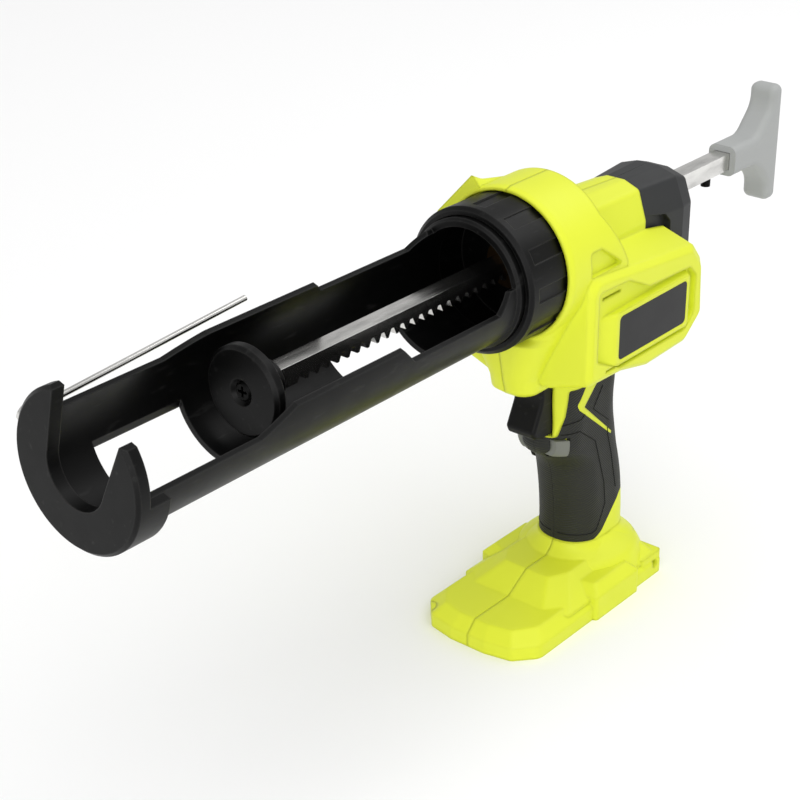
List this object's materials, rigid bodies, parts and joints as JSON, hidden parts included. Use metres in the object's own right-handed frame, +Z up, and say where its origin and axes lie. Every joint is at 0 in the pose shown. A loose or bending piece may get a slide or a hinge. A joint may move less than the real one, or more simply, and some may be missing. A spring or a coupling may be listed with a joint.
{
  "type": "cordless caulking tool",
  "caption": "Cordless caulking tool: open half-round cartridge carriage on a turning collar, toothed push rod with pull handle, pistol grip with trigger and a battery foot.",
  "frame": {"origin": "middle of the battery foot's underside, on the plane the tool stands on", "axes": "+X forward along the push rod to the nozzle, +Y to the user's left, +Z up"},
  "size_m": [0.491, 0.0806, 0.2312],
  "materials": {
    "green_shell": "satin moulded nylon, lime green",
    "grip_rubber": "soft overmould with fine texture",
    "dark_shell": "satin moulded nylon, dark grey",
    "black_carriage": "satin moulded, black",
    "black_trigger": "satin moulded, black",
    "light_grey": "satin moulded, light grey",
    "bright_steel": "bright zinc plated",
    "blackened_steel": "black oxide",
    "gear_steel": "machined",
    "bush_bronze": "sintered bronze",
    "contact_brass": "plain brass",
    "case_aluminium": "die cast"
  },
  "bodies": {
    "housing": {"badge_plate": "dark_shell", "battery_terminals": "contact_brass", "carriage_spigot": "black_carriage", "case_screw_bulge_front": "blackened_steel", "case_screw_bulge_rear": "blackened_steel", "case_screw_cover": "blackened_steel", "case_screw_foot_front": "blackened_steel", "case_screw_foot_rear": "blackened_steel", "case_screw_handle_middle": "blackened_steel", "case_screw_handle_top": "blackened_steel", "front_guide_bush": "bush_bronze", "gear_case_left": "case_aluminium", "gear_case_right": "case_aluminium", "gearbox_case": "bright_steel", "grip_left": "grip_rubber", "grip_right": "grip_rubber", "housing_left": "green_shell", "housing_right": "green_shell", "motor_can": "bright_steel", "rear_cover_left": "dark_shell", "rear_cover_right": "dark_shell", "rear_guide_bush": "bush_bronze", "shaft_bush_left": "bush_bronze", "shaft_bush_right": "bush_bronze", "switch_module": "black_trigger", "terminal_block": "black_trigger"},
    "rack": {"rack_rod": "bright_steel", "plunger": "black_carriage", "plunger_screw": "bright_steel", "pull_handle": "light_grey", "pull_set_screw": "bright_steel", "rack_stop_pin": "blackened_steel"},
    "pinion": {"rack_pinion": "gear_steel", "output_gear": "gear_steel", "pinion_shaft": "bright_steel"},
    "gear_output": {"gearbox_output": "gear_steel"},
    "collar": {"collar": "black_carriage"},
    "carriage": {"carriage": "black_carriage", "nose_cap": "black_carriage", "wire_pin": "bright_steel"},
    "wire": {"puncture_wire": "bright_steel"},
    "trigger": {"trigger": "black_trigger"},
    "lock_off": {"lock_off_button": "light_grey"}
  },
  "joints": [
    {"name": "rack_slide", "type": "slide", "parent": "housing", "child": "rack", "axis": [1, 0, 0], "range_m": [-0.155, 0.0445]},
    {"name": "pinion_turn", "type": "hinge", "parent": "housing", "child": "pinion", "pos_m": [-0.002, 0, 0.1801], "axis": [0, 1, 0], "range_deg": [-890, 257]},
    {"name": "gearbox_turn", "type": "hinge", "parent": "housing", "child": "gear_output", "pos_m": [-0.02651, 0, 0.16508], "axis": [0, 1, 0], "range_deg": [-585, 2032]},
    {"name": "collar_turn", "type": "hinge", "parent": "housing", "child": "collar", "pos_m": [0.048, 0, 0.193], "axis": [1, 0, 0], "range_deg": [0, 180]},
    {"name": "carriage_turn", "type": "hinge", "parent": "housing", "child": "carriage", "pos_m": [0.0527, 0, 0.193], "axis": [1, 0, 0], "continuous": true},
    {"name": "wire_swing", "type": "hinge", "parent": "carriage", "child": "wire", "pos_m": [0.284, -0.03355, 0.20369], "axis": [0, 0.9438, -0.3305], "range_deg": [-5, 170]},
    {"name": "trigger_pull", "type": "slide", "parent": "housing", "child": "trigger", "axis": [-1, 0, 0], "range_m": [0, 0.007], "stiffness_N_per_m": 700},
    {"name": "lock_off_slide", "type": "slide", "parent": "housing", "child": "lock_off", "axis": [0, 1, 0], "range_m": [0, 0.005]}
  ],
  "couplings": [
    {"joint": "pinion_turn", "follows": "rack_slide", "rad_per_m": 100},
    {"joint": "gearbox_turn", "follows": "rack_slide", "rad_per_m": -228.57}
  ]
}
